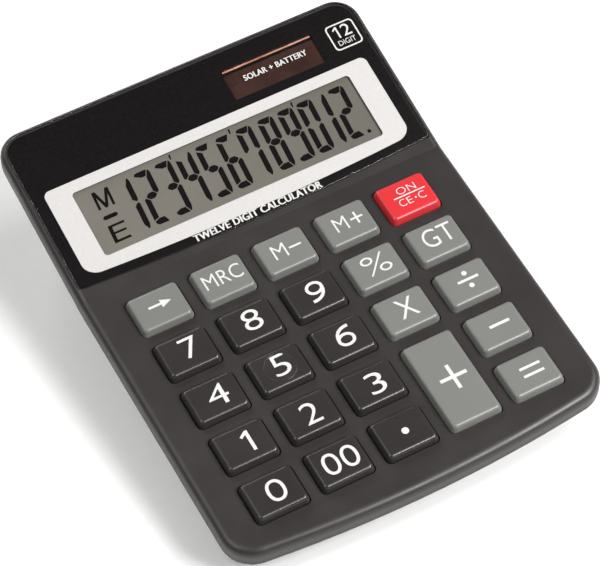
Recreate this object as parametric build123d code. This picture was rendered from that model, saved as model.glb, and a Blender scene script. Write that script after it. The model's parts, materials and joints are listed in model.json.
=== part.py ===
from build123d import *
import math
import os

os.makedirs("parts", exist_ok=True)

# A compact twelve-digit desk calculator. Millimetres.
# Three frames are used:
#   keypad frame - x across, y from the front edge of the case to the back, z = 0 on the keypad face
#   panel frame  - x across, y along the display lens from its front edge, z = 0 on the lens
#   desk frame   - the output frame: z = 0 on the desk, origin under the middle of the case

# ---------------------------------------------------------------- driving dimensions
CASE_W = 103.0            # width of the case
CASE_L = 136.5            # length of the case, measured in the keypad plane
FRONT_CORNER_R = 8.5      # plan radius of the two front corners
BACK_CORNER_R = 7.0       # plan radius of the two back corners
FRONT_BOW_R = 372.0       # radius of the bowed front edge
WALL = 1.8                # moulded wall thickness
TOP_FILLET = 2.2          # rounding all round the top of the case

KEYPAD_TILT = 6.0         # keypad face to the desk, degrees
PANEL_TILT = 9.6          # display panel to the keypad face, degrees
PANEL_Y = 87.6            # front edge of the display lens, from the front of the case
PANEL_Z = 0.65            # height of that edge above the keypad face
RIM_DROP = 0.35           # how far the rim round the lens lies below the lens

PART_DROP = 4.2           # parting surface, below the face and the rim: the side wall keeps one height
GROOVE_H = 0.3            # dark shadow gap between the halves
BAND_DROP = 5.2           # bottom of the band of the lower half, which shows under the upper half
BAND_INSET = 0.1
SHELF_DROP = 3.7          # top of the shelf inside the upper half's wall
LIP_DROP = 3.2            # top of the locating lip
BODY_TOP_Z = 4.0          # the sloping body of the lower half starts here and is cut by the band
BODY_INSET = 2.0
BODY_DEPTH = 32.0
UNDERCUT = 12.0           # inward slope of that body, degrees
BODY_CORNER_R = 4.0
FRONT_DEPTH = 11.0        # keypad face to underside, at the very front
FOOT_H = 1.2              # how far the rubber feet stand out

PITCH_X = 17.5            # key pitch across
PITCH_Y = 14.95           # key pitch along
ROW_BACK_Y = 74.8         # centre line of the back row of keys
KEY_BASE = (14.1, 11.4)   # key outline at the face
KEY_TOP = (13.2, 10.3)    # key outline at the top, before its edge is rounded
KEY_H = 1.95              # key top above the face
KEY_R = 1.2
KEY_EDGE_R = 1.1          # rounding of the top edge
KEY_GAP = 0.3             # all round, between a key and its opening
KEY_WALL = 1.3
KEY_HOLLOW_R = 0.6
DISH_R = 4.0              # shallow finger dish in the 5 key
DISH_DEPTH = 0.35
FLANGE = (16.2, 13.6)     # retaining flange under the face
FLANGE_R = 3.4
FLANGE_TOP = -2.2
FLANGE_T = 1.0
POST_R = 1.7
POST_END = -3.6

DOME_TOP = -3.9
DOME_FOOT = (3.4, 2.4, 0.9)     # radius at the sheet, radius at the shoulder, height
DOME_HEAD_R = 2.0
DOME_BORE = (2.5, -5.25)        # radius and roof of the hollow under a dome
SHEET_TOP = -5.8
SHEET = (85.0, 68.4)            # rubber sheet, centred on SHEET_MID_Y
SHEET_MID_Y = 44.5
PILL = (1.3, 0.3)               # carbon contact under a dome: radius, thickness
PCB_TOP = -6.6
PCB_T = 1.2
PCB_LOW = PCB_TOP - PCB_T
PCB = (87.0, 73.0)
PCB_MID_Y = 46.5
BLOB = (5.5, 4.2, 1.1)          # resin cap over the chip: radius at the board, at the end, height
BLOB_Y = 60.0
CAPACITOR = (3.2, 1.6, 1.1)
CAPACITOR_X = (-12.0, 10.0, 16.0)
CAPACITOR_Y = 71.0

LENS_HALF_W = 50.0
LENS_L = 47.8
LENS_T = 1.0
LENS_BOW_R = 760.0        # bowed front edge of the lens
MASK_T = 0.15
LEDGE_TOP = -1.2
LEDGE_BOTTOM = -2.9
LCD_WINDOW = (79.5, 19.5)
LCD_MID_V = 17.25         # middle of the display window along the panel
GLASS = (84.0, 24.0)
GLASS_T = 1.1
GLASS_GAP = 0.3           # round the glass and the solar cell
FILM_T = 0.2
FILM = (82.0, 22.5)
REFLECTOR = (80.0, 17.0)
REFLECTOR_SHIFT = 2.0     # the reflector leaves room for the ribbon at the front of the glass
LCD_TOP = -1.5
HOLDER = (91.2, 26.4)
HOLDER_OPEN = (70.0, 16.0)
HOLDER_SLOT = (64.0, 6.0)       # way out for the ribbon, at HOLDER_SLOT_V before the middle
HOLDER_SLOT_V = 12.0
HOLDER_TOP = -4.3
HOLDER_T = 1.4
RIBBON_W = 60.0
RIBBON_T = 0.2
POST_DROP = -4.2          # ends of the posts that the display holder is screwed to
SOLAR_WINDOW = (26.5, 9.2)
SOLAR_MID = (23.5, 37.5)
SOLAR = (28.0, 11.0)

CELL_R = 5.8              # button cell, 11.6 x 5.4
CELL_T = 5.4
CELL_LOW = 1.8            # its lower face, above the underside
CAN_T = 5.0               # height of its can, below the smaller negative cap
LEAF = (4.2, 2.2, 0.3)    # battery contact: outer radius, inner radius, thickness
LEAF_LOW = 8.3
TAIL_Y = -3.0             # solder tail of that contact, from the middle of the cell
SIDE_TAIL_X = 4.0
DOOR = (20.0, 20.0)
DOOR_T = 1.5
DOOR_TRAVEL = 4.5
DOOR_GAP = 0.3
DOOR_MID_Y = 101.0        # door centre, from the front of the case along the underside
WELL_R = 8.0
WELL_BORE = 6.15
WELL_H = 10.0

CASE_SCREWS = [(40.0, 86.0, -11.0), (40.0, 121.5, -12.0)]   # x, y, joint height
PCB_SCREWS = [(-26.25, 67.33), (26.25, 67.33), (-26.25, 37.43), (26.25, 37.43),
              (-26.25, 22.48), (-8.75, 22.48)]
HOLDER_SCREWS = [(-44.0, 6.5), (44.0, 6.5), (-44.0, 28.0), (44.0, 28.0)]
FEET = [(-38.0, 17.0), (38.0, 17.0), (-37.0, 107.0), (37.0, 107.0)]
FOOT_R = 4.5
FOOT_SINK = 0.5           # how deep a foot sits in its recess
LABEL = (46.0, 26.0)      # shallow recess for a label
LABEL_Y = 52.0
LABEL_DEPTH = 0.25
BOSS_R = 2.4              # case-screw bosses of the upper half
BOSS_DROP = 2.0           # their tops under the panel rim, inside the ledge
PILLAR_R = 3.4            # pillars of the lower half, which those screws pass through
SCREW_HEAD_SEAT = 2.2     # plastic under a case-screw's head
WIRE_R = 0.45
WIRE_DEPTH = -9.6         # the wires' level, under the board
WIRE_END_Y = 79.0

# ---------------------------------------------------------------- frames
TAN_PANEL = math.tan(math.radians(PANEL_TILT))
COS_PANEL = math.cos(math.radians(PANEL_TILT))
PANEL = Location((0, PANEL_Y, PANEL_Z), (PANEL_TILT, 0, 0))
UNDERSIDE = Location((0, 0, -FRONT_DEPTH), (-KEYPAD_TILT, 0, 0))   # underside plane, z up into the case


# ---------------------------------------------------------------- helpers
def block(size, height, low, at=(0, 0), radius=0.0):
    """A box or a box with rounded upright corners, standing on z = low."""
    plan = RectangleRounded(*size, radius) if radius else Rectangle(*size)
    return Pos(at[0], at[1], low) * extrude(plan, amount=height)


def rod(radius, low, high, at=(0, 0)):
    return Pos(at[0], at[1], low) * extrude(Circle(radius), amount=high - low)


def outline(inset, front_r, back_r):
    """Plan outline of the case, moved in by inset: straight sides and back, bowed front."""
    plan = Pos(0, (CASE_L - inset) / 2) * Rectangle(CASE_W - 2 * inset, CASE_L - inset)
    plan &= Pos(0, FRONT_BOW_R) * Circle(FRONT_BOW_R - inset)
    plan = fillet(plan.vertices().sort_by(Axis.Y)[:2], front_r)
    return fillet(plan.vertices().sort_by(Axis.Y)[-2:], back_r)


def case_outline(inset):
    return outline(inset, FRONT_CORNER_R - inset, BACK_CORNER_R - inset)


def under_lid(drop, low):
    """Everything below the keypad face and the panel rim, both lowered by drop, and above low."""
    rim_z = PANEL_Z - (RIM_DROP + drop) / COS_PANEL
    hinge_y = PANEL_Y - (rim_z + drop) / TAN_PANEL
    back_y = CASE_L + 1
    back_z = rim_z + (back_y - PANEL_Y) * TAN_PANEL
    side = Polyline((-1, low), (-1, -drop), (hinge_y, -drop), (back_y, back_z), (back_y, low), close=True)
    profile = make_face(Plane.YZ * side)
    return Pos(-CASE_W, 0, 0) * extrude(profile, amount=2 * CASE_W, dir=(1, 0, 0))


def case_core(inset, drop, low=-60.0):
    """The inside of the outline below the lid lowered by drop."""
    prism = Pos(0, 0, low) * extrude(case_outline(inset), amount=100)
    return prism & under_lid(drop, low - 1)


def layer(inset, drop, low_drop):
    """A slab of the case between two lowered copies of the lid surface."""
    return case_core(inset, drop) - under_lid(low_drop, -62)


def key_centre(column, row):
    return ((column - 2) * PITCH_X, ROW_BACK_Y - row * PITCH_Y)


# name: (column, row), rows counted from the back; the plus key is two rows tall
KEYS = {
    "key_arrow": (0, 0), "key_mrc": (1, 0), "key_m_minus": (2, 0), "key_m_plus": (3, 0), "key_on": (4, 0),
    "key_7": (0, 1), "key_8": (1, 1), "key_9": (2, 1), "key_percent": (3, 1), "key_gt": (4, 1),
    "key_4": (0, 2), "key_5": (1, 2), "key_6": (2, 2), "key_times": (3, 2), "key_divide": (4, 2),
    "key_1": (0, 3), "key_2": (1, 3), "key_3": (2, 3), "key_plus": (3, 3.5), "key_minus": (4, 3),
    "key_0": (0, 4), "key_00": (1, 4), "key_dot": (2, 4), "key_equals": (4, 4),
}


def key_extra(name):
    return PITCH_Y if name == "key_plus" else 0.0


def plungers(name):
    """Where a key presses the rubber sheet: once, or twice under the tall key."""
    x, y = key_centre(*KEYS[name])
    half = key_extra(name) / 2
    return [(x, y)] if half == 0 else [(x, y - half), (x, y + half)]


# ---------------------------------------------------------------- keys
def make_key(name):
    x, y = key_centre(*KEYS[name])
    more = key_extra(name)
    base = RectangleRounded(KEY_BASE[0], KEY_BASE[1] + more, KEY_R)
    top = RectangleRounded(KEY_TOP[0], KEY_TOP[1] + more, KEY_R)
    cap = loft([base, Pos(0, 0, KEY_H) * top], ruled=True)
    cap = fillet(cap.faces().sort_by(Axis.Z)[-1].edges(), KEY_EDGE_R)
    cap += block((KEY_BASE[0], KEY_BASE[1] + more), -FLANGE_TOP, FLANGE_TOP, radius=KEY_R)
    cap += block((FLANGE[0], FLANGE[1] + more), FLANGE_T, FLANGE_TOP - FLANGE_T, radius=FLANGE_R)
    hollow = (KEY_BASE[0] - 2 * KEY_WALL, KEY_BASE[1] + more - 2 * KEY_WALL)
    low = FLANGE_TOP - FLANGE_T
    cap -= block(hollow, KEY_H - KEY_WALL - low, low, radius=KEY_HOLLOW_R)
    if name == "key_5":
        ball = (DISH_R ** 2 + DISH_DEPTH ** 2) / (2 * DISH_DEPTH)
        cap -= Pos(0, 0, KEY_H - DISH_DEPTH + ball) * Sphere(ball)
    cap = Pos(x, y, 0) * cap
    for spot in plungers(name):
        cap += rod(POST_R, POST_END, KEY_H - KEY_WALL + 0.2, spot)
    return cap


# ---------------------------------------------------------------- case, upper half
def make_top_case():
    outer = layer(0.0, 0.0, PART_DROP)
    lids = [f for f in outer.faces() if f.normal_at().Z > 0.9]
    rim = [e for f in lids for e in f.edges() if abs(e.center().Y - PANEL_Y) > 5]
    shell = fillet(rim, TOP_FILLET) - case_core(WALL, WALL)
    # ledge that carries the lens, the display and the solar cell
    ledge = PANEL * block((2 * LENS_HALF_W + 4, LENS_L + 5), LEDGE_TOP - LEDGE_BOTTOM, LEDGE_BOTTOM,
                          at=(0, LENS_L / 2))
    shell += ledge & case_core(WALL / 2, WALL / 2)
    shell -= PANEL * (Pos(0, 0, LEDGE_TOP) * extrude(lens_plan(0.2), amount=8))
    for (width, length), middle in ((GLASS, (0, LCD_MID_V)), (SOLAR, SOLAR_MID)):
        room = (width + 2 * GLASS_GAP, length + 2 * GLASS_GAP)
        shell -= PANEL * block(room, 8, -8, at=middle, radius=0.6)
    for name, place in KEYS.items():
        size = (KEY_BASE[0] + 2 * KEY_GAP, KEY_BASE[1] + key_extra(name) + 2 * KEY_GAP)
        shell -= block(size, WALL + 2, -WALL - 1, at=key_centre(*place), radius=KEY_R + KEY_GAP)
    # screw bosses, which stop inside the ledge
    inside = case_core(WALL / 2, BOSS_DROP)
    for x, y, joint in CASE_SCREWS:
        for side in (-x, x):
            shell += rod(BOSS_R, joint, 12, (side, y)) & inside
            shell -= rod(1.0, joint, joint + 7.0, (side, y))
    for spot in PCB_SCREWS:
        shell += rod(1.5, PCB_TOP, -WALL / 2, spot)
        shell -= rod(0.85, PCB_TOP, PCB_TOP + 4.0, spot)
    for spot in HOLDER_SCREWS:
        shell += PANEL * rod(1.4, POST_DROP, LEDGE_BOTTOM + 0.5, spot)
        shell -= PANEL * rod(0.75, POST_DROP, LEDGE_BOTTOM + 0.7, spot)
    return shell


# ---------------------------------------------------------------- display
def lens_plan(grow):
    """Plan of the display lens in the panel frame, with a bowed front edge."""
    plan = Pos(0, LENS_L / 2) * Rectangle(2 * (LENS_HALF_W + grow), LENS_L + 2 * grow)
    plan &= Pos(0, LENS_BOW_R) * Circle(LENS_BOW_R + grow)
    plan = fillet(plan.vertices().sort_by(Axis.Y)[:2], 1.2 + grow)
    return fillet(plan.vertices().sort_by(Axis.Y)[-2:], 5.5 + grow)


def make_lens():
    lens = Pos(0, 0, -LENS_T) * extrude(lens_plan(0), amount=LENS_T)
    return fillet(lens.faces().sort_by(Axis.Z)[-1].edges(), 0.4)


def make_mask():
    mask = Pos(0, 0, -LENS_T - MASK_T) * extrude(lens_plan(-0.5), amount=MASK_T)
    mask -= block(LCD_WINDOW, 4, -4, at=(0, LCD_MID_V), radius=1.0)
    return mask - block(SOLAR_WINDOW, 4, -4, at=SOLAR_MID, radius=0.5)


def make_holder():
    """Plastic frame behind the display that clamps the glass to the ledge."""
    low = HOLDER_TOP - HOLDER_T
    holder = block(HOLDER, HOLDER_T, low, at=(0, LCD_MID_V), radius=1.5)
    holder -= block(HOLDER_OPEN, 4, low - 1, at=(0, LCD_MID_V), radius=2.0)
    holder -= block(HOLDER_SLOT, 4, low - 1, at=(0, LCD_MID_V - HOLDER_SLOT_V))
    for spot in HOLDER_SCREWS:
        holder += rod(1.6, low, POST_DROP, spot)
        holder -= rod(0.9, low - 1, 0, spot)
    return holder


def cone(low_r, high_r, low, height, at=(0, 0)):
    """A cut cone standing on z = low."""
    return Pos(at[0], at[1], low) * Cone(low_r, high_r, height, align=(Align.CENTER, Align.CENTER, Align.MIN))


def screw(radius, length, head_r, head_h):
    """A pan-head screw pointing up, its head's seat at z = 0, with a cross recess."""
    body = rod(radius, 0, length - radius) + cone(radius, 0.15, length - radius, radius)
    head = rod(head_r, -head_h, 0)
    head = fillet(head.edges().sort_by(Axis.Z)[0], head_h * 0.45)
    for size in ((head_r * 1.2, head_r * 0.3), (head_r * 0.3, head_r * 1.2)):
        head -= block(size, head_h * 0.6, -head_h)
    return body + head


def ribbon(points, width, thick):
    """A flat flexible strip whose side view follows the points."""
    line = offset(Polyline(*points), thick / 2, side=Side.BOTH, kind=Kind.INTERSECTION)
    return Pos(-width / 2, 0, 0) * extrude(make_face(Plane.YZ * line), amount=width, dir=(1, 0, 0))


def wire(points, radius, bend):
    path = FilletPolyline(*points, radius=bend)
    section = Plane(origin=path @ 0, z_dir=path % 0) * Circle(radius)
    return sweep(section, path=path)


def panel_point(x, v, z):
    """A point of the panel frame, in the keypad frame."""
    turn = math.radians(PANEL_TILT)
    y = PANEL_Y + v * math.cos(turn) - z * math.sin(turn)
    return (x, y, PANEL_Z + v * math.sin(turn) + z * math.cos(turn))


# ---------------------------------------------------------------- board and rubber sheet
def make_membrane():
    sheet = block(SHEET, SHEET_TOP - PCB_TOP, PCB_TOP, at=(0, SHEET_MID_Y), radius=3.0)
    foot_r, shoulder_r, foot_h = DOME_FOOT
    bore_r, bore_top = DOME_BORE
    for name in KEYS:
        for spot in plungers(name):
            sheet += cone(foot_r, shoulder_r, SHEET_TOP, foot_h, spot)
            sheet += rod(DOME_HEAD_R, SHEET_TOP, DOME_TOP, spot)
            sheet -= rod(bore_r, PCB_TOP, bore_top, spot)
    for spot in PCB_SCREWS:
        sheet -= rod(1.9, PCB_TOP - 1, 0, spot)
    return sheet


def make_pcb():
    board = block(PCB, PCB_T, PCB_LOW, at=(0, PCB_MID_Y), radius=4.0)
    for spot in PCB_SCREWS:
        board -= rod(0.95, PCB_TOP - 3, 0, spot)
    return board


# ---------------------------------------------------------------- case, lower half
def body_block(inset, lift):
    """The wedge-shaped body of the lower half, its underside raised by lift."""
    step = BODY_DEPTH * math.tan(math.radians(UNDERCUT))
    top = case_outline(BODY_INSET + inset)
    foot = outline(BODY_INSET + inset + step, BODY_CORNER_R, BODY_CORNER_R)
    slope = loft([Pos(0, 0, BODY_TOP_Z - BODY_DEPTH) * foot, Pos(0, 0, BODY_TOP_Z) * top], ruled=True)
    return slope - UNDERSIDE * block((300, 400), 60, lift - 60, at=(0, 60))


def make_bottom_case():
    wedge = body_block(0.0, 0.0)
    wedge = fillet(wedge.faces().sort_by(Axis.Z)[0].edges(), 0.8)
    shell = wedge & under_lid(SHELF_DROP, -60)
    shell += layer(BAND_INSET, PART_DROP + GROOVE_H, BAND_DROP)
    shell += layer(WALL + 0.1, LIP_DROP, BAND_DROP)
    shell -= layer(WALL + 1.1, LIP_DROP - 1, SHELF_DROP)
    shell -= body_block(WALL, WALL)
    mid = DOOR_MID_Y
    pad = block((DOOR[0] + 12, DOOR[1] + 12), 3.4, 1.0, at=(0, mid + 1), radius=2)
    shell += UNDERSIDE * (pad + rod(WELL_R, 1.0, WELL_H, (0, mid)))
    for x, y, joint in CASE_SCREWS:
        for side in (-x, x):
            shell += rod(PILLAR_R, -40, joint, (side, y)) & body_block(WALL / 2, WALL / 2)
            shell -= rod(2.2, -50, joint - SCREW_HEAD_SEAT, (side, y)) + rod(1.2, -50, joint, (side, y))
            shell -= rod(BOSS_R + 0.1, joint, 0, (side, y))
    # door recess with room to slide, tongue slots, cell well, feet recesses
    room = DOOR_GAP + DOOR_TRAVEL + 0.6
    span = DOOR[1] + DOOR_GAP + room
    cut = block((DOOR[0] + 2 * DOOR_GAP, span), DOOR_T + DOOR_GAP + 1, -1,
                at=(0, mid - DOOR[1] / 2 - DOOR_GAP + span / 2), radius=1.0 + DOOR_GAP)
    for x in (-6.0, 6.0):
        cut += block((4.6, 3.0), 1.3, 0.5, at=(x, mid - DOOR[1] / 2 - 1.0))
    cut += rod(WELL_BORE, 0, WELL_H - 1.3, (0, mid))
    cut += block((3.0, 1.2), 6, WELL_H - 3, at=(0, mid + TAIL_Y))
    cut += block((1.2, 3.0), 6, WELL_H - 3, at=(SIDE_TAIL_X, mid))
    for spot in FEET:
        cut += rod(FOOT_R + 0.1, -1, FOOT_SINK, spot)
    cut += block(LABEL, LABEL_DEPTH + 1, -1, at=(0, LABEL_Y), radius=2.0)
    return shell - UNDERSIDE * cut


def make_door():
    mid = DOOR_MID_Y
    door = block(DOOR, DOOR_T, 0, at=(0, mid), radius=1.0)
    for x in (-6.0, 6.0):
        door += block((4.0, 2.6), 0.7, 0.8, at=(x, mid - DOOR[1] / 2 - 0.3))
    for row in range(4):
        door -= block((10.0 - 2.0 * row, 0.5), 1.3, -1, at=(0, mid + 2.0 + 1.4 * row))
    return door


# ---------------------------------------------------------------- build in the keypad frame
parts = {}
parts["top_case"] = make_top_case()
parts["bottom_case"] = make_bottom_case()
for key in KEYS:
    parts[key] = make_key(key)

parts["display_lens"] = PANEL * make_lens()
parts["lens_mask"] = PANEL * make_mask()
top = LCD_TOP
parts["lcd_polariser"] = PANEL * block(FILM, FILM_T, top - FILM_T, at=(0, LCD_MID_V), radius=0.5)
top -= FILM_T
for name in ("lcd_front_glass", "lcd_rear_glass"):
    parts[name] = PANEL * block(GLASS, GLASS_T, top - GLASS_T, at=(0, LCD_MID_V))
    top -= GLASS_T
parts["lcd_reflector"] = PANEL * block(REFLECTOR, FILM_T, top - FILM_T, at=(0, LCD_MID_V + REFLECTOR_SHIFT))
parts["lcd_holder"] = PANEL * make_holder()
holder_seat = HOLDER_TOP - HOLDER_T
parts["holder_screws"] = PANEL * Compound([Pos(x, v, holder_seat) * screw(0.7, 3.0, 1.5, 0.8)
                                           for x, v in HOLDER_SCREWS])
parts["solar_cell"] = PANEL * block(SOLAR, GLASS_T, LCD_TOP - GLASS_T, at=SOLAR_MID)

# the ribbon leaves the back of the glass, folds down and lands on the board
ribbon_start = panel_point(0, LCD_MID_V - 7.2, top - RIBBON_T / 2)[1:]
ribbon_fold = panel_point(0, LCD_MID_V - 13.0, top - RIBBON_T / 2)[1:]
ribbon_z = PCB_TOP + RIBBON_T / 2
ribbon_line = [ribbon_start, ribbon_fold, (83.6, ribbon_z), (79.4, ribbon_z)]
parts["lcd_ribbon"] = ribbon(ribbon_line, RIBBON_W, RIBBON_T)

parts["key_membrane"] = make_membrane()
pill_r, pill_t = PILL
parts["carbon_pills"] = Compound([rod(pill_r, DOME_BORE[1] - pill_t, DOME_BORE[1], spot)
                                  for n in KEYS for spot in plungers(n)])
parts["main_pcb"] = make_pcb()
blob_r, blob_end_r, blob_h = BLOB
blob = cone(blob_end_r, blob_r, PCB_LOW - blob_h, blob_h, (0, BLOB_Y))
parts["chip_blob"] = fillet(blob.edges().sort_by(Axis.Z)[0], 0.7)
parts["capacitors"] = Compound([block(CAPACITOR[:2], CAPACITOR[2], PCB_LOW - CAPACITOR[2], at=(x, CAPACITOR_Y))
                                for x in CAPACITOR_X])
parts["pcb_screws"] = Compound([Pos(x, y, PCB_LOW) * screw(0.8, 4.8, 1.7, 0.9) for x, y in PCB_SCREWS])
parts["case_screws"] = Compound([Pos(side, y, joint - SCREW_HEAD_SEAT) * screw(0.95, 8.5, 2.0, 1.2)
                                 for x, y, joint in CASE_SCREWS for side in (-x, x)])

# each wire colour has one wire to the solar cell and one to a battery contact
solar_back = LCD_TOP - GLASS_T - 0.5
for name, solar_x, tail_x, tail_y in (("wire_red", 16.0, SIDE_TAIL_X, 0.0), ("wire_black", 31.0, 0.0, TAIL_Y)):
    head = panel_point(solar_x, SOLAR_MID[1], solar_back)
    pin = (UNDERSIDE * Pos(tail_x, DOOR_MID_Y + tail_y, WELL_H + 0.1)).position
    pair = []
    for start, x, bend in ((head, solar_x, 1.6), ((pin.X, pin.Y, pin.Z), tail_x + 2.0, 1.2)):
        level = (start[0], start[1], WIRE_DEPTH)
        pair.append(wire([start, level, (x, WIRE_END_Y, WIRE_DEPTH), (x, WIRE_END_Y, PCB_LOW)], WIRE_R, bend))
    parts[name] = Compound(pair)

centre = (0, DOOR_MID_Y)
cell = fillet(rod(CELL_R, CELL_LOW, CELL_LOW + CAN_T, centre).edges().sort_by(Axis.Z)[0], 0.5)
cell += rod(CELL_R - 1.2, CELL_LOW + CAN_T, CELL_LOW + CELL_T, centre)
parts["button_cell"] = UNDERSIDE * cell
leaf_r, leaf_bore, leaf_t = LEAF
leaf = rod(leaf_r, LEAF_LOW, LEAF_LOW + leaf_t, centre) - rod(leaf_bore, LEAF_LOW - 1, LEAF_LOW + 1, centre)
leaf += block((2.4, 0.4), WELL_H - LEAF_LOW, LEAF_LOW, at=(0, DOOR_MID_Y + TAIL_Y))
parts["contact_negative"] = UNDERSIDE * leaf
parts["battery_door"] = UNDERSIDE * make_door()
parts["rubber_feet"] = UNDERSIDE * Compound(
    [fillet(rod(FOOT_R, -FOOT_H, FOOT_SINK, spot).edges().sort_by(Axis.Z)[0], 0.5) for spot in FEET])

# ---------------------------------------------------------------- move to the desk frame and write
desk = Location((0, 0, FOOT_H), (KEYPAD_TILT, 0, 0)) * Location((0, 0, FRONT_DEPTH))
shells = [(desk * parts[n]).bounding_box() for n in ("top_case", "bottom_case")]
middle = (min(b.min.Y for b in shells) + max(b.max.Y for b in shells)) / 2
desk = Location((0, -middle, 0)) * desk
for name, shape in parts.items():
    export_step(desk * shape, f"parts/{name}.step")
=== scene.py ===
import json
import math

import bmesh
import bpy
from mathutils import Matrix, Vector
from mathutils.bvhtree import BVHTree

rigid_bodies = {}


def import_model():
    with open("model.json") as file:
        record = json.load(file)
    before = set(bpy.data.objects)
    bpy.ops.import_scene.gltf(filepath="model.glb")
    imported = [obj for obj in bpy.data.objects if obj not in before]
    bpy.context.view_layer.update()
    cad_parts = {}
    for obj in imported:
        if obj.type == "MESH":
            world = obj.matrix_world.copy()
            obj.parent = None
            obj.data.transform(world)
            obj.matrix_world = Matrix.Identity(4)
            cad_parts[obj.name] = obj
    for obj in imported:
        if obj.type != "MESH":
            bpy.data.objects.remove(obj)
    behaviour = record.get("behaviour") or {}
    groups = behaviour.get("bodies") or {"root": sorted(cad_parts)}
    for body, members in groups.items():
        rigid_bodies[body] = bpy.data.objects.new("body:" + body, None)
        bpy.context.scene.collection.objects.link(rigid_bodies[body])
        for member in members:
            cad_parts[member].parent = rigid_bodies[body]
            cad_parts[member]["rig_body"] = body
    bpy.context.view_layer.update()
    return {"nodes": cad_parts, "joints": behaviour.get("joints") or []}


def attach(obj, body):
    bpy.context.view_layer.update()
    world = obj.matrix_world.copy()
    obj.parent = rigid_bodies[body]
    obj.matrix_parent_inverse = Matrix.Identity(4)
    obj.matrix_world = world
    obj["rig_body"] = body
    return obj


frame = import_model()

nodes = frame["nodes"]

MM = 0.001
PANEL_TILT = math.radians(9.6)     # the display panel rises this much more steeply than the keypad
INK = 0.03                         # how far printed ink stands above its surface, mm
INK_DEPTH = 0.02                   # how far it is sunk below it, mm
FILM = 0.03                        # thickness of the print on the panel and the display, mm
CAST_FROM = 2.0                    # height over a key from which ink is dropped onto it, mm
WELD = 1e-5                        # vertices nearer than this are one, mm

# ---------------------------------------------------------------- camera, floor and light

FLOOR_SIZE = 6.0
FLOOR_Z = -0.0002                  # just under the feet, so that no faces coincide, m
CAMERA_AT = (-0.186995, -0.415715, 0.564239)
CAMERA_TURN = (0.691368, 0.056986, -0.492223)
FOCAL_MM = 171.6

scene = bpy.context.scene
camera_data = bpy.data.cameras.new("camera")
camera_data.sensor_width = 36.0
camera_data.sensor_fit = "HORIZONTAL"
camera_data.lens = FOCAL_MM
camera = bpy.data.objects.new("camera", camera_data)
camera.location = CAMERA_AT
camera.rotation_euler = CAMERA_TURN
scene.collection.objects.link(camera)
scene.camera = camera
scene.view_settings.view_transform = "Standard"


def soft_light(name, toward, distance, size, power):
    """A rectangular softbox in the direction `toward` from the object, facing it."""
    data = bpy.data.lights.new(name, "AREA")
    data.shape = "RECTANGLE"
    data.size, data.size_y = size
    data.energy = power
    light = bpy.data.objects.new(name, data)
    direction = Vector(toward).normalized()
    light.location = direction * distance
    light.rotation_euler = direction.to_track_quat("Z", "Y").to_euler()
    scene.collection.objects.link(light)


soft_light("key_light", (0.55, -0.70, 0.80), 1.5, (0.7, 0.4), 30)
soft_light("left_light", (-1.0, -0.25, 1.1), 1.7, (0.5, 0.5), 3)
soft_light("back_light", (-0.25, 1.0, 0.75), 1.6, (1.4, 0.5), 13)
soft_light("right_light", (0.95, -0.10, 1.0), 1.7, (0.6, 0.6), 9)
soft_light("overhead_light", (-0.50, 0.05, 1.0), 1.7, (0.8, 0.8), 9)

# studio surround: pale round the horizon and dark overhead, so that flat tops mirror little light
HORIZON, ZENITH = 0.26, 0.02
world = bpy.data.worlds.new("studio")
world.use_nodes = True
tree = world.node_tree
sky = tree.nodes.new("ShaderNodeTexCoord")
split = tree.nodes.new("ShaderNodeSeparateXYZ")
falloff = tree.nodes.new("ShaderNodeMapRange")
sky_range = {"From Min": 0.1, "From Max": 0.75, "To Min": HORIZON, "To Max": ZENITH}
for socket, value in sky_range.items():
    falloff.inputs[socket].default_value = value
tree.links.new(sky.outputs["Generated"], split.inputs[0])
tree.links.new(split.outputs["Z"], falloff.inputs["Value"])
tree.links.new(falloff.outputs["Result"], tree.nodes["Background"].inputs["Strength"])
scene.world = world

# ---------------------------------------------------------------- materials

EDGE_RADIUS = 0.0004               # edges tighter than this show wear, m
SHEET_GLOSS = (0.45, 0.45, 0.45)   # share of the full reflection that clear sheets show
DISPLAY_HALF = 0.04                # half the width of the display, m


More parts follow.
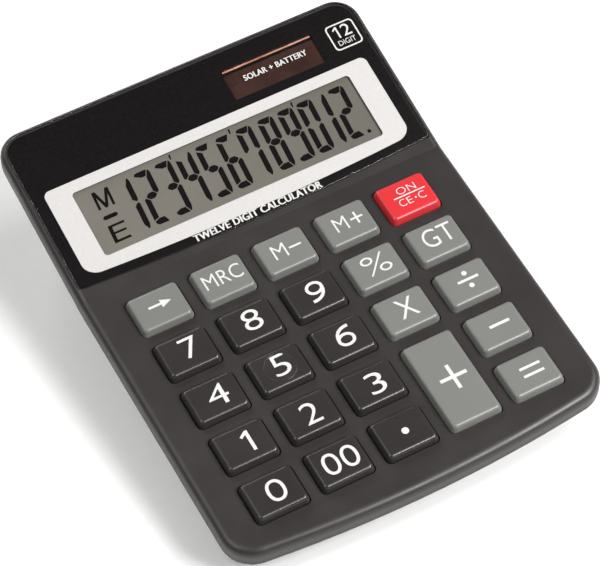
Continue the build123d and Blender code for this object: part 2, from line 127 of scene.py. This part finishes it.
class Shader:
    """Builds one node material, with helpers for the patterns that the finishes share."""

    def __init__(self, name):
        self.material = bpy.data.materials.new(name)
        self.material.use_nodes = True
        self.tree = self.material.node_tree
        self.bsdf = self.tree.nodes["Principled BSDF"]
        self.out = self.tree.nodes["Material Output"]
        self.place = self.node("ShaderNodeTexCoord").outputs["Object"]

    def node(self, kind, **settings):
        made = self.tree.nodes.new(kind)
        for key, value in settings.items():
            setattr(made, key, value)
        return made

    def link(self, source, target):
        self.tree.links.new(source, target)

    def stretched(self, scale):
        mapping = self.node("ShaderNodeMapping")
        mapping.inputs["Scale"].default_value = scale
        self.link(self.place, mapping.inputs["Vector"])
        return mapping.outputs["Vector"]

    def noise(self, scale, detail=2.0, roughness=0.5, place=None):
        noise = self.node("ShaderNodeTexNoise")
        noise.inputs["Scale"].default_value = scale
        noise.inputs["Detail"].default_value = detail
        noise.inputs["Roughness"].default_value = roughness
        self.link(place or self.place, noise.inputs["Vector"])
        return noise.outputs["Fac"]

    def remap(self, value, low, high, start=0.3, end=0.7):
        ranged = self.node("ShaderNodeMapRange")
        ranged.inputs["From Min"].default_value = start
        ranged.inputs["From Max"].default_value = end
        ranged.inputs["To Min"].default_value = low
        ranged.inputs["To Max"].default_value = high
        self.link(value, ranged.inputs["Value"])
        return ranged.outputs["Result"]

    def blend(self, factor, dark, light):
        """Mixes two colours, each a tuple or a socket, by a factor socket."""
        mix = self.node("ShaderNodeMix", data_type="RGBA")
        self.link(factor, mix.inputs[0])
        for socket, colour in ((mix.inputs[6], dark), (mix.inputs[7], light)):
            if isinstance(colour, tuple):
                socket.default_value = (*colour, 1.0)
            else:
                self.link(colour, socket)
        return mix.outputs[2]

    def bump(self, height, distance):
        bump = self.node("ShaderNodeBump")
        bump.inputs["Distance"].default_value = distance
        bump.inputs["Strength"].default_value = 1.0
        self.link(height, bump.inputs["Height"])
        return bump.outputs["Normal"]

    def worn_edges(self, radius):
        """1 on convex edges tighter than the radius and 0 on flat faces."""
        bevel = self.node("ShaderNodeBevel", samples=4)
        bevel.inputs["Radius"].default_value = radius
        normal = self.node("ShaderNodeNewGeometry").outputs["Normal"]
        dot = self.node("ShaderNodeVectorMath", operation="DOT_PRODUCT")
        self.link(bevel.outputs["Normal"], dot.inputs[0])
        self.link(normal, dot.inputs[1])
        return self.remap(dot.outputs["Value"], 1.0, 0.0, 0.86, 0.995)


def moulded(name, colour, roughness, grain=0.000012, grain_scale=2600.0, mottling=0.12,
            wear=0.0, coat=0.0):
    """Moulded plastic: spark-eroded grain, soft sheen changes where handled, polished edges."""
    s = Shader(name)
    broad = s.noise(38.0, 3.0, 0.55)
    fine = s.noise(grain_scale, 2.0, 0.6)
    dark = tuple(c * (1.0 - mottling) for c in colour)
    light = tuple(min(1.0, c * (1.0 + mottling)) for c in colour)
    base = s.blend(s.remap(broad, 0.0, 1.0), dark, light)
    if wear:
        edges = s.worn_edges(EDGE_RADIUS)
        scuffed = tuple(min(1.0, c * 1.35 + 0.012) for c in colour)
        scuffs = s.node("ShaderNodeMath", operation="MULTIPLY")
        s.link(edges, scuffs.inputs[0])
        s.link(s.remap(s.noise(420.0, 4.0, 0.7), 0.0, wear, 0.4, 0.65), scuffs.inputs[1])
        base = s.blend(scuffs.outputs["Value"], base, scuffed)
    s.link(base, s.bsdf.inputs["Base Color"])
    smudge = s.noise(90.0, 4.0, 0.6)
    s.link(s.remap(smudge, roughness * 0.88, roughness * 1.12), s.bsdf.inputs["Roughness"])
    s.bsdf.inputs["Specular IOR Level"].default_value = 0.5
    if coat:
        s.bsdf.inputs["Coat Weight"].default_value = coat
        s.bsdf.inputs["Coat Roughness"].default_value = 0.12
    s.link(s.bump(fine, grain), s.bsdf.inputs["Normal"])
    return s.material


def printed(name, colour, roughness=0.45):
    """Screen-printed ink: slightly uneven cover and a faint surface grain."""
    s = Shader(name)
    cover = s.noise(1500.0, 3.0, 0.6)
    thin = tuple(c * 0.93 for c in colour)
    s.link(s.blend(s.remap(cover, 0.0, 1.0), thin, colour), s.bsdf.inputs["Base Color"])
    s.link(s.remap(cover, roughness * 0.9, roughness * 1.1), s.bsdf.inputs["Roughness"])
    s.link(s.bump(cover, 0.000001), s.bsdf.inputs["Normal"])
    return s.material


def metal(name, colour, roughness, brush=(1.0, 1.0, 1.0), grain=0.000006):
    """Plated or brushed metal: fine tool marks and slight tarnish."""
    s = Shader(name)
    marks = s.noise(900.0, 4.0, 0.7, s.stretched(brush))
    tarnish = s.noise(130.0, 3.0, 0.6)
    dull = tuple(c * 0.82 for c in colour)
    s.link(s.blend(s.remap(tarnish, 0.0, 1.0), dull, colour), s.bsdf.inputs["Base Color"])
    s.bsdf.inputs["Metallic"].default_value = 1.0
    s.link(s.remap(marks, roughness * 0.8, roughness * 1.25), s.bsdf.inputs["Roughness"])
    s.link(s.bump(marks, grain), s.bsdf.inputs["Normal"])
    return s.material


def clear_sheet(name, tint, gloss_roughness, ior=1.49):
    """Polished clear sheet without refraction: the tint shows through, and the sheen is on top."""
    s = Shader(name)
    s.tree.nodes.remove(s.bsdf)
    clear = s.node("ShaderNodeBsdfTransparent")
    clear.inputs["Color"].default_value = (*tint, 1.0)
    gloss = s.node("ShaderNodeBsdfGlossy")
    gloss.inputs["Color"].default_value = (*SHEET_GLOSS, 1.0)
    smear = s.noise(60.0, 4.0, 0.6)
    s.link(s.remap(smear, gloss_roughness * 0.8, gloss_roughness * 1.4), gloss.inputs["Roughness"])
    ripple = s.bump(s.noise(120.0, 1.0, 0.4), 0.0000008)
    s.link(ripple, gloss.inputs["Normal"])
    fresnel = s.node("ShaderNodeFresnel")
    fresnel.inputs["IOR"].default_value = ior
    # only the outward side reflects, so light gets back out of the sheet
    outward = s.node("ShaderNodeMath", operation="SUBTRACT")
    outward.inputs[0].default_value = 1.0
    s.link(s.node("ShaderNodeNewGeometry").outputs["Backfacing"], outward.inputs[1])
    gloss_share = s.node("ShaderNodeMath", operation="MULTIPLY")
    s.link(fresnel.outputs["Fac"], gloss_share.inputs[0])
    s.link(outward.outputs["Value"], gloss_share.inputs[1])
    mix = s.node("ShaderNodeMixShader")
    s.link(gloss_share.outputs["Value"], mix.inputs["Fac"])
    s.link(clear.outputs["BSDF"], mix.inputs[1])
    s.link(gloss.outputs["BSDF"], mix.inputs[2])
    s.link(mix.outputs["Shader"], s.out.inputs["Surface"])
    return s.material


def display_film():
    """The grey display ground with painted shade, darker towards the right, and the diffusing film's
    sparkle.
    """
    s = Shader("display_film")
    sparkle = s.noise(5200.0, 1.0, 0.5)
    cloud = s.noise(45.0, 2.0, 0.5)
    ground = s.blend(s.remap(cloud, 0.0, 1.0), (0.140, 0.130, 0.110), (0.158, 0.147, 0.125))
    across = s.node("ShaderNodeSeparateXYZ")
    s.link(s.place, across.inputs[0])
    # painted shade: the ground is blended to a darker grey from left to right, standing in for how
    # the light falls across the display
    toward_right = s.remap(across.outputs["X"], 0.0, 1.0, -DISPLAY_HALF, DISPLAY_HALF)
    painted_shade = s.blend(toward_right, ground, (0.116, 0.109, 0.091))
    s.link(painted_shade, s.bsdf.inputs["Base Color"])
    s.link(s.remap(sparkle, 0.34, 0.44), s.bsdf.inputs["Roughness"])
    s.link(s.bump(sparkle, 0.000002), s.bsdf.inputs["Normal"])
    return s.material


def solar_film():
    """Amorphous silicon behind glass: maroon, slightly clouded, with a coat for the glass."""
    s = Shader("solar_film")
    cloud = s.noise(160.0, 3.0, 0.6)
    ground = s.blend(s.remap(cloud, 0.0, 1.0), (0.033, 0.016, 0.013), (0.047, 0.023, 0.019))
    s.link(ground, s.bsdf.inputs["Base Color"])
    s.link(s.remap(cloud, 0.16, 0.26), s.bsdf.inputs["Roughness"])
    s.bsdf.inputs["Coat Weight"].default_value = 0.6
    s.bsdf.inputs["Coat Roughness"].default_value = 0.05
    s.link(s.bump(cloud, 0.000003), s.bsdf.inputs["Normal"])
    return s.material


def busbar():
    """Plated copper strip: red-brown copper with pale patches of painted highlight, the whole
    lightened to stand for its glint.
    """
    s = Shader("busbar_copper")
    highlight_patches = s.noise(260.0, 3.0, 0.6, s.stretched((1.0, 0.2, 0.2)))
    # painted highlight: the pale colour, and the lightness of the whole strip, stand in for the
    # glint of the metal
    s.link(s.blend(s.remap(highlight_patches, 0.0, 1.0), (0.36, 0.085, 0.035), (0.85, 0.50, 0.36)),
           s.bsdf.inputs["Base Color"])
    s.bsdf.inputs["Metallic"].default_value = 0.25
    s.link(s.remap(highlight_patches, 0.35, 0.25), s.bsdf.inputs["Roughness"])
    s.link(s.bump(highlight_patches, 0.000004), s.bsdf.inputs["Normal"])
    return s.material


CASE = (0.0225, 0.0190, 0.0184)
BLACK_KEY = (0.026, 0.0222, 0.0220)
GREY_KEY = (0.156, 0.158, 0.146)
RED_KEY = (0.54, 0.027, 0.034)
WHITE = (0.60, 0.59, 0.57)

finishes = {
    "case_plastic": moulded("case_plastic", CASE, 0.42, mottling=0.05, wear=0.5),
    "keycap_black": moulded("keycap_black", BLACK_KEY, 0.29, 0.000007, mottling=0.06, wear=0.4),
    "keycap_grey": moulded("keycap_grey", GREY_KEY, 0.34, 0.000007, mottling=0.04, wear=0.35),
    "keycap_red": moulded("keycap_red", RED_KEY, 0.32, 0.000006, mottling=0.03, wear=0.2),
    "lens": clear_sheet("lens", (1.0, 1.0, 1.0), 0.12),
    "lens_print": printed("lens_print", (0.0035, 0.0025, 0.0025), 0.30),
    "lcd_film": display_film(),
    "display_glass": clear_sheet("display_glass", (0.92, 0.95, 0.93), 0.04, 1.52),
    "lcd_back": metal("lcd_back", (0.62, 0.62, 0.60), 0.42, (1.0, 30.0, 1.0)),
    "inner_plastic": moulded("inner_plastic", (0.60, 0.60, 0.57), 0.5, mottling=0.04),
    "ribbon": metal("ribbon", (0.55, 0.34, 0.12), 0.4, (60.0, 1.0, 1.0)),
    "screw_steel": metal("screw_steel", (0.60, 0.60, 0.61), 0.3),
    "solar": solar_film(),
    "membrane_rubber": moulded("membrane_rubber", (0.55, 0.56, 0.55), 0.62, mottling=0.05),
    "carbon_rubber": moulded("carbon_rubber", (0.02, 0.02, 0.02), 0.6),
    "board": moulded("board", (0.35, 0.27, 0.11), 0.4, 0.00002, 900.0, coat=0.3),
    "epoxy": moulded("epoxy", (0.010, 0.010, 0.010), 0.16),
    "ceramic": moulded("ceramic", (0.46, 0.31, 0.19), 0.5),
    "red_insulation": moulded("red_insulation", (0.60, 0.03, 0.03), 0.4),
    "black_insulation": moulded("black_insulation", (0.015, 0.015, 0.015), 0.4),
    "cell_steel": metal("cell_steel", (0.72, 0.72, 0.72), 0.22),
    "contact_nickel": metal("contact_nickel", (0.62, 0.59, 0.55), 0.28),
    "foot_rubber": moulded("foot_rubber", (0.028, 0.028, 0.028), 0.75, 0.00003, 1400.0),
}
white_ink = printed("white_ink", WHITE, 0.5)
panel_white = printed("panel_white", (0.54, 0.525, 0.51), 0.35)
segment_ink = printed("segment_ink", (0.004, 0.003, 0.003), 0.55)
segment_ink.node_tree.nodes["Principled BSDF"].inputs["Specular IOR Level"].default_value = 0.08
copper = busbar()

for node, obj in nodes.items():
    slot = obj.data.materials[0].name.split(".")[0] if obj.data.materials else ""
    if slot in finishes:
        obj.data.materials[0] = finishes[slot]
    else:
        print("no finish for", node, slot)

# ---------------------------------------------------------------- frames on the keypad and the panel

press = next(j for j in frame["joints"] if j["name"] == "key_5_press")
press_axis = Vector(press["axis"])
keypad_tilt = math.atan2(press_axis.y, -press_axis.z)


def tilted_box(node, tilt):
    """A node's lowest and highest corners in axes turned by the tilt about X, in mm."""
    back = Matrix.Rotation(-tilt, 4, "X")
    points = [back @ v.co / MM for v in nodes[node].data.vertices]
    low = Vector([min(p[i] for p in points) for i in range(3)])
    high = Vector([max(p[i] for p in points) for i in range(3)])
    return low, high


def face_frame(origin, tilt):
    """Maps mm on a tilted face, with z out of it, to metres in the desk frame."""
    return Matrix.Rotation(tilt, 4, "X") @ Matrix.Scale(MM, 4) @ Matrix.Translation(origin)


def key_frame(node):
    """Origin in the middle of a key's top face."""
    low, high = tilted_box(node, keypad_tilt)
    return face_frame(Vector(((low.x + high.x) / 2, (low.y + high.y) / 2, high.z)), keypad_tilt)


panel_low, panel_high = tilted_box("display_lens", keypad_tilt + PANEL_TILT)
panel = face_frame(
    Vector(((panel_low.x + panel_high.x) / 2, panel_low.y, panel_high.z)), keypad_tilt + PANEL_TILT)

# ---------------------------------------------------------------- outlines, in mm


def rounded(x0, y0, x1, y1, radius, steps=8):
    """Rounded rectangle; radius is one number, or four from the low left corner anticlockwise."""
    radii = radius if isinstance(radius, tuple) else (radius,) * 4
    corners = ((x0, y0, 180), (x1, y0, 270), (x1, y1, 0), (x0, y1, 90))
    points = []
    for (x, y, start), r in zip(corners, radii):
        cx = x + (r if x == x0 else -r)
        cy = y + (r if y == y0 else -r)
        for k in range(steps + 1):
            angle = math.radians(start + 90 * k / steps)
            points.append((cx + r * math.cos(angle), cy + r * math.sin(angle)))
    return points


def disc(x, y, radius, steps=32):
    turns = [math.tau * k / steps for k in range(steps)]
    return [(x + radius * math.cos(turn), y + radius * math.sin(turn)) for turn in turns]


def bar(x0, x1, y, thickness):
    return rounded(x0, y - thickness / 2, x1, y + thickness / 2, thickness * 0.12, 2)


def cross(x, y, span, thickness, height=None):
    a, b, c = span / 2, thickness / 2, (height or span) / 2
    return [(x + p, y + q) for p, q in (
        (-b, -c), (b, -c), (b, -b), (a, -b), (a, b), (b, b),
        (b, c), (-b, c), (-b, b), (-a, b), (-a, -b), (-b, -b))]


# ---------------------------------------------------------------- flat printed pieces


def outline_mesh(loops, thickness):
    """A closed flat solid of these outlines, nested ones being holes, centred on z = 0."""
    curve = bpy.data.curves.new("outline", "CURVE")
    curve.dimensions = "2D"
    curve.fill_mode = "BOTH"
    curve.extrude = thickness / 2
    for loop in loops:
        spline = curve.splines.new("POLY")
        spline.points.add(len(loop) - 1)
        for point, (x, y) in zip(spline.points, loop):
            point.co = (x, y, 0.0, 1.0)
        spline.use_cyclic_u = True
    return curve_mesh(curve)


def text_mesh(string, box, thickness, weight=0.0, spacing=1.0):
    """Lettering stretched to fill box = (x0, y0, x1, y1)."""
    curve = bpy.data.curves.new("lettering", "FONT")
    curve.body = string
    curve.resolution_u = 6
    curve.offset = weight
    curve.space_character = spacing
    curve.extrude = thickness / 2
    mesh = curve_mesh(curve)
    xs = [v.co.x for v in mesh.vertices]
    ys = [v.co.y for v in mesh.vertices]
    x0, y0, x1, y1 = box
    sx = (x1 - x0) / (max(xs) - min(xs))
    sy = (y1 - y0) / (max(ys) - min(ys))
    for v in mesh.vertices:
        v.co.x = x0 + (v.co.x - min(xs)) * sx
        v.co.y = y0 + (v.co.y - min(ys)) * sy
    return mesh


def curve_mesh(curve):
    holder = bpy.data.objects.new("holder", curve)
    mesh = bpy.data.meshes.new_from_object(holder)
    bpy.data.objects.remove(holder)
    bpy.data.curves.remove(curve)
    return mesh


def print_piece(name, meshes, place, height, material, body, onto=None):
    """Joins meshes drawn in mm into one piece of ink at this height over a face, riding on a body.

    With onto, the ink follows that CAD node's surface, as on a dished key.
    """
    work = bmesh.new()
    for mesh in meshes:
        work.from_mesh(mesh)
        bpy.data.meshes.remove(mesh)
    bmesh.ops.remove_doubles(work, verts=work.verts, dist=WELD)
    bmesh.ops.recalc_face_normals(work, faces=work.faces)
    surface = None
    if onto:
        surface = BVHTree.FromObject(nodes[onto], bpy.context.evaluated_depsgraph_get())
    down = (place.to_3x3() @ Vector((0, 0, -1))).normalized()
    for v in work.verts:
        local = v.co.copy()
        v.co = place @ (local + Vector((0, 0, height)))
        if surface:
            start = place @ Vector((local.x, local.y, CAST_FROM))
            hit = surface.ray_cast(start, down)[0]
            if hit:
                v.co = hit - down * (local.z + height) * MM
    mesh = bpy.data.meshes.new(name)
    work.to_mesh(mesh)
    work.free()
    mesh.materials.append(material)
    piece = bpy.data.objects.new(name, mesh)
    scene.collection.objects.link(piece)
    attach(piece, body)
    return piece


# ---------------------------------------------------------------- key legends

SHEET = INK + INK_DEPTH
KEY_INK = (INK - INK_DEPTH) / 2
STROKE_T = 0.83                    # pen width of the drawn 0, 6 and 9, mm
TAIL_STEP = 0.006                  # the tail of 6 and 9 lies this much over the bowl, mm


def letters(string, x0, y0, x1, y1, weight=0.0, spacing=1.0):
    return text_mesh(string, (x0, y0, x1, y1), SHEET, weight, spacing)


def shape(*loops):
    return outline_mesh(loops, SHEET)


def bezier(p0, p1, p2, p3, steps=20):
    points = []
    for k in range(steps + 1):
        t = k / steps
        weights = ((1 - t) ** 3, 3 * t * (1 - t) ** 2, 3 * t * t * (1 - t), t ** 3)
        pulls = list(zip(weights, (p0, p1, p2, p3)))
        points.append(tuple(sum(w * p[i] for w, p in pulls) for i in (0, 1)))
    return points


def stroke(path, thickness):
    """Outline of a pen line of this thickness along a path."""
    left, right = [], []
    for k, (x, y) in enumerate(path):
        (ax, ay), (bx, by) = path[max(k - 1, 0)], path[min(k + 1, len(path) - 1)]
        length = math.hypot(bx - ax, by - ay)
        nx, ny = -(by - ay) / length * thickness / 2, (bx - ax) / length * thickness / 2
        left.append((x + nx, y + ny))
        right.append((x - nx, y - ny))
    return left + right[::-1]


def oval(x, y, rx, ry, power=2.25, steps=48):
    points = []
    for k in range(steps):
        c, n = math.cos(math.tau * k / steps), math.sin(math.tau * k / steps)
        points.append((x + rx * math.copysign(abs(c) ** (2 / power), c),
                       y + ry * math.copysign(abs(n) ** (2 / power), n)))
    return points


def ring(x, y, rx, ry, thickness, power=2.25):
    return [oval(x, y, rx, ry, power), oval(x, y, rx - thickness, ry - thickness * 0.92, power)]


def zero(x0, y0, x1, y1):
    return shape(*ring((x0 + x1) / 2, (y0 + y1) / 2, (x1 - x0) / 2, (y1 - y0) / 2, STROKE_T))


def six(x0, y0, x1, y1, turned=False):
    """A bowl and a tail that curves over it; turned upside down it is a nine."""
    w, h = x1 - x0, y1 - y0
    bowl_ry = h * 0.325
    bowl = ring(w / 2, bowl_ry, w / 2, bowl_ry, STROKE_T, 2.05)
    half = STROKE_T / 2
    spine = bezier((half, bowl_ry), (half, h * 0.74), (w * 0.42, h - half * 0.9),
                   (w * 0.93, h - half))
    loops = [*bowl, stroke(spine, STROKE_T)]
    if turned:
        loops = [[(w - x, h - y) for x, y in loop] for loop in loops]
    bowl_out, bowl_in, tail = [[(x0 + x, y0 + y) for x, y in loop] for loop in loops]
    tail_mesh = shape(tail)
    for v in tail_mesh.vertices:
        v.co.z += TAIL_STEP
    return [shape(bowl_out, bowl_in), tail_mesh]


DIGITS = {
    "2": (-1.8, -3.05, 2.55, 2.95), "3": (-1.45, -3.1, 3.0, 2.9), "4": (-1.95, -2.75, 3.35, 3.15),
    "5": (-1.65, -2.4, 2.8, 3.6), "7": (-1.2, -2.35, 3.3, 3.6), "8": (-1.85, -2.5, 2.95, 3.55),
}
legends = {f"key_{d}": [letters(d, *box, -0.006)] for d, box in DIGITS.items()}
legends["key_0"] = [zero(-1.8, -3.0, 3.0, 3.05)]
legends["key_00"] = [zero(-4.2, -3.0, 0.05, 3.05), zero(0.8, -3.0, 5.05, 3.05)]
legends["key_6"] = six(-1.65, -2.6, 3.1, 3.4)
legends["key_9"] = six(-1.45, -2.65, 3.25, 3.4, turned=True)
legends["key_1"] = [shape([(1.25, -2.8), (2.12, -2.8), (2.12, 3.1), (1.35, 3.1), (-0.3, 1.9),
                           (0.1, 1.3), (1.25, 2.05)])]
legends["key_dot"] = [shape(disc(0.37, -0.28, 0.93))]
legends["key_arrow"] = [shape([(-2.75, 0.17), (0.65, 0.17), (0.65, -0.75), (3.4, 0.5), (0.65, 1.7),
                               (0.65, 0.83), (-2.75, 0.83)])]
legends["key_mrc"] = [letters("MRC", -5.0, -1.75, 5.35, 2.55, -0.006)]
legends["key_m_minus"] = [letters("M", -3.2, -1.8, 0.4, 2.5, -0.009),
                          shape(bar(1.2, 4.55, 0.12, 0.54))]
legends["key_m_plus"] = [letters("M", -3.25, -1.8, 0.2, 2.45, -0.009),
                         shape(cross(2.97, 0.3, 3.4, 0.54, 3.7))]
legends["key_on"] = [
    letters("ON", -1.95, 1.05, 3.35, 3.15, -0.013),
    shape(bar(-3.6, 5.25, 0.42, 0.34)),
    letters("C", -3.0, -2.5, -1.2, -0.35, -0.013),
    letters("E", -0.7, -2.5, 0.65, -0.4, -0.013),
    shape(disc(1.7, -1.4, 0.26)),
    letters("C", 2.5, -2.5, 4.4, -0.35, -0.013),
]
legends["key_percent"] = [letters("%", -3.2, -2.55, 3.95, 3.35, -0.011)]
legends["key_gt"] = [letters("GT", -3.5, -2.1, 4.95, 3.4, -0.006)]
legends["key_times"] = [letters("X", -1.9, -2.4, 3.05, 3.3, -0.004)]
legends["key_divide"] = [shape(bar(-2.3, 3.45, 0.5, 0.72)), shape(disc(0.55, 2.48, 0.68)),
                         shape(disc(0.55, -1.48, 0.68))]
legends["key_minus"] = [shape(bar(-2.1, 3.45, 0.42, 0.8))]
legends["key_equals"] = [shape(bar(-2.05, 3.6, 1.3, 0.72)), shape(bar(-2.05, 3.6, -0.97, 0.72))]
legends["key_plus"] = [shape(cross(0.62, 0.0, 7.3, 0.95))]

for key, meshes in legends.items():
    print_piece(f"legend_{key[4:]}", meshes, key_frame(key), KEY_INK, white_ink,
                nodes[key]["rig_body"], onto=key)

# ---------------------------------------------------------------- ring on key 5


def ring_mesh(x, y, radius, thickness, steps=96, sides=10):
    """A torus lying flat."""
    mesh = bpy.data.meshes.new("ring")
    points, faces = [], []
    for k in range(steps):
        a = math.tau * k / steps
        for j in range(sides):
            b = math.tau * j / sides
            r = radius + thickness / 2 * math.cos(b)
            points.append((x + r * math.cos(a), y + r * math.sin(a), thickness / 2 * math.sin(b)))
            m, n = (k + 1) % steps, (j + 1) % sides
            faces.append((k * sides + j, m * sides + j, m * sides + n, k * sides + n))
    mesh.from_pydata(points, [], faces)
    for polygon in mesh.polygons:
        polygon.use_smooth = True
    return mesh


RING_SUNK = -0.06                  # the ring round the fingertip dish stands mostly in the cap, mm
print_piece("fingertip_ring", [ring_mesh(0.25, 0.0, 4.05, 0.3)], key_frame("key_5"), RING_SUNK,
            finishes["keycap_black"], nodes["key_5"]["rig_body"], onto="key_5")

# ---------------------------------------------------------------- display panel print

PRINT_Z = -0.96                    # the panel print, just above the underside of the lens, mm
BOLD_STEP = 0.004                  # height step between the copies of heavy lettering, mm
WINDOW = (-39.75, 7.5, 39.75, 27.0)
CELL_WINDOW = (10.2, 32.9, 36.6, 42.2)


def bowed(loop, bow_radius=760.0, reach=10.0):
    """Bends the front edge of an outline back at its ends, as the lens's own front edge does."""
    return [(x, y + max(0.0, 1.0 - (y - 3.0) / reach) * x * x / (2 * bow_radius))
            for x, y in loop]


def case_print(name, meshes, height, ink):
    """Print on the display panel, which rides on the case."""
    print_piece(name, meshes, panel, height, ink, "case")


def straight_sides(loop, steps=24):
    """Adds points along an outline's runs, so that it can bend."""
    points = []
    for (x0, y0), (x1, y1) in zip(loop, loop[1:] + loop[:1]):
        count = steps if abs(x1 - x0) > 20 else 1
        points += [(x0 + (x1 - x0) * k / count, y0 + (y1 - y0) * k / count)
                   for k in range(count)]
    return points


surround = [bowed(straight_sides(rounded(-46.3, 3.0, 46.2, 30.2, (4.0, 4.0, 1.8, 1.8)))),
            rounded(*WINDOW, 1.0)]
case_print("display_surround", [outline_mesh(surround, FILM)], PRINT_Z, panel_white)

ground = [bowed(straight_sides(rounded(-49.3, 0.5, 49.3, 47.1, (1.0, 1.0, 5.5, 5.5)))),
          rounded(*WINDOW, 1.0), rounded(*CELL_WINDOW, 0.5)]
GROUND_T, GROUND_STEP = 0.01, 0.025   # black print, thinner than the rest and under it, mm
case_print("panel_ground", [outline_mesh(ground, GROUND_T)], PRINT_Z - GROUND_STEP,
           finishes["lens_print"])

badge = [rounded(40.6, 34.2, 48.6, 42.0, 1.2), rounded(41.0, 34.6, 48.2, 41.6, 0.9)]
one = [(1.0, 0.0), (1.45, 0.0), (1.45, 3.5), (1.05, 3.5), (0.0, 2.7), (0.22, 2.35), (1.0, 2.9)]
case_print("digit_count_badge", [
    outline_mesh(badge, FILM),
    outline_mesh([[(42.2 + x, 37.6 + y) for x, y in one]], FILM),
    text_mesh("2", (44.6, 37.6, 47.0, 41.1), FILM),
    text_mesh("DIGIT", (42.1, 35.4, 47.1, 36.9), FILM),
], PRINT_Z, white_ink)


def bold(string, box, spread):
    """Heavy lettering: thin copies side by side, stepped in height so that no faces coincide."""
    x0, y0, x1, y1 = box
    copies = []
    for step in (-1, 0, 1):
        shift = step * spread
        mesh = text_mesh(string, (x0 + shift, y0, x1 + shift, y1), FILM, spacing=1.05)
        for v in mesh.vertices:
            v.co.z += step * BOLD_STEP
        copies.append(mesh)
    return copies


case_print("panel_caption", bold("TWELVE DIGIT CALCULATOR", (-17.7, 1.05, 18.4, 3.0), 0.11),
           PRINT_Z, white_ink)

# ---------------------------------------------------------------- display digits

SEGMENT_Z = -1.48                  # the segments, on the display glass, mm
SLANT = 0.053                      # sideways lean for each mm of height
DIGIT_Y = 9.75
DIGIT_X = (-30.1, -24.25, -18.33, -12.58, -6.76, -0.98, 4.8, 11.14, 16.9, 22.46, 26.19, 31.75)
SHOWN = "123456789012"
SEGMENTS_OF = {"0": "abcdef", "1": "bc", "2": "abged", "3": "abgcd", "4": "fgbc", "5": "afgcd",
               "6": "afgedc", "7": "fabc", "8": "abcdefg", "9": "abcdfg"}
SEGMENTS = {
    "a": [(0.15, 14.85), (0.35, 15.3), (0.7, 15.58), (1.3, 15.64), (3.75, 15.64), (3.08, 13.92),
          (1.85, 13.92)],
    "b": [(3.95, 15.5), (4.35, 15.05), (4.5, 14.3), (4.5, 8.95), (4.1, 8.45), (3.9, 8.45),
          (3.05, 9.25), (3.05, 13.4)],
    "c": [(3.85, 0.15), (4.2, 0.4), (4.5, 1.4), (4.5, 7.6), (4.2, 8.0), (3.9, 8.0), (3.05, 7.2),
          (3.05, 1.75)],
    "d": [(0.05, 1.15), (0.35, 0.35), (1.0, 0.0), (3.62, 0.0), (2.8, 1.7), (1.4, 1.72)],
    "e": [(0.0, 1.5), (1.45, 2.0), (1.45, 7.2), (0.6, 8.0), (0.3, 8.0), (0.0, 7.65)],
    "f": [(0.0, 14.4), (0.0, 8.8), (0.3, 8.5), (0.6, 8.5), (1.45, 9.3), (1.45, 13.55)],
    "g": [(0.8, 8.25), (1.25, 8.85), (1.7, 9.18), (2.8, 9.18), (3.25, 8.85), (3.7, 8.25),
          (3.25, 7.65), (2.8, 7.34), (1.7, 7.34), (1.25, 7.65)],
}
LETTER_M = [(0.0, 0.0), (0.0, 5.25), (0.95, 5.25), (2.3, 1.35), (3.65, 5.25), (4.6, 5.25),
            (4.6, 0.0), (3.9, 0.0), (3.9, 3.6), (2.7, 0.0), (1.9, 0.0), (0.7, 3.6), (0.7, 0.0)]
LETTER_E = [(0.0, 0.0), (4.55, 0.0), (4.55, 0.68), (1.0, 0.68), (1.0, 2.4), (4.25, 2.4),
            (4.25, 2.98), (1.0, 2.98), (1.0, 4.48), (4.5, 4.48), (4.5, 5.1), (0.0, 5.1)]
MINUS = [(0.0, 0.57), (0.55, 1.12), (3.7, 1.12), (4.25, 0.57), (3.7, 0.0), (0.55, 0.0)]
THOUSANDS_MARK = [(-0.25, 0.0), (0.08, 0.0), (0.24, 1.4), (-0.3, 1.4)]


def slanted(loop, x, y):
    return [(x + px + py * SLANT, y + py) for px, py in loop]


shown = [slanted(SEGMENTS[segment], x, DIGIT_Y)
         for x, digit in zip(DIGIT_X, SHOWN) for segment in SEGMENTS_OF[digit]]
shown += [slanted(THOUSANDS_MARK, x, 25.05) for x in (-12.55, 4.5, 22.65)]
shown += [slanted(LETTER_M, -35.45, 19.95), slanted(MINUS, -35.7, 16.78),
          slanted(LETTER_E, -35.85, 9.87)]
shown.append(disc(37.0, 10.28, 0.52))
case_print("display_segments", [outline_mesh([loop], FILM) for loop in shown], SEGMENT_Z,
           segment_ink)

# ---------------------------------------------------------------- solar cell detail

CELL_TOP = -1.5                    # top face of the solar cell, mm
BUSBAR_T = 0.06
case_print("solar_margin", [outline_mesh([rounded(10.2, 40.65, 36.6, 42.2, 0.1, 3)], FILM)],
           CELL_TOP + 0.02, finishes["lens_print"])
# the busbar's copper finish is lightened and carries painted highlights for its glint
case_print("solar_busbar", [outline_mesh([rounded(10.7, 41.5, 36.4, 41.95, 0.1, 3)], BUSBAR_T)],
           CELL_TOP + 0.07, copper)
case_print("solar_caption", bold("SOLAR + BATTERY", (15.0, 36.95, 33.2, 38.6), 0.07), PRINT_Z,
           white_ink)

# ---------------------------------------------------------------- floor

floor_mesh = bpy.data.meshes.new("floor")
work = bmesh.new()
bmesh.ops.create_grid(work, x_segments=8, y_segments=8, size=FLOOR_SIZE / 2)
work.to_mesh(floor_mesh)
work.free()
floor = bpy.data.objects.new("floor", floor_mesh)
floor.location.z = FLOOR_Z
scene.collection.objects.link(floor)
s = Shader("floor_paper")
paper = s.noise(300.0, 3.0, 0.6)
s.link(s.blend(s.remap(paper, 0.0, 1.0), (0.90, 0.90, 0.89), (0.92, 0.92, 0.91)),
       s.bsdf.inputs["Base Color"])
s.bsdf.inputs["Roughness"].default_value = 0.9
floor_mesh.materials.append(s.material)

bpy.context.view_layer.update()
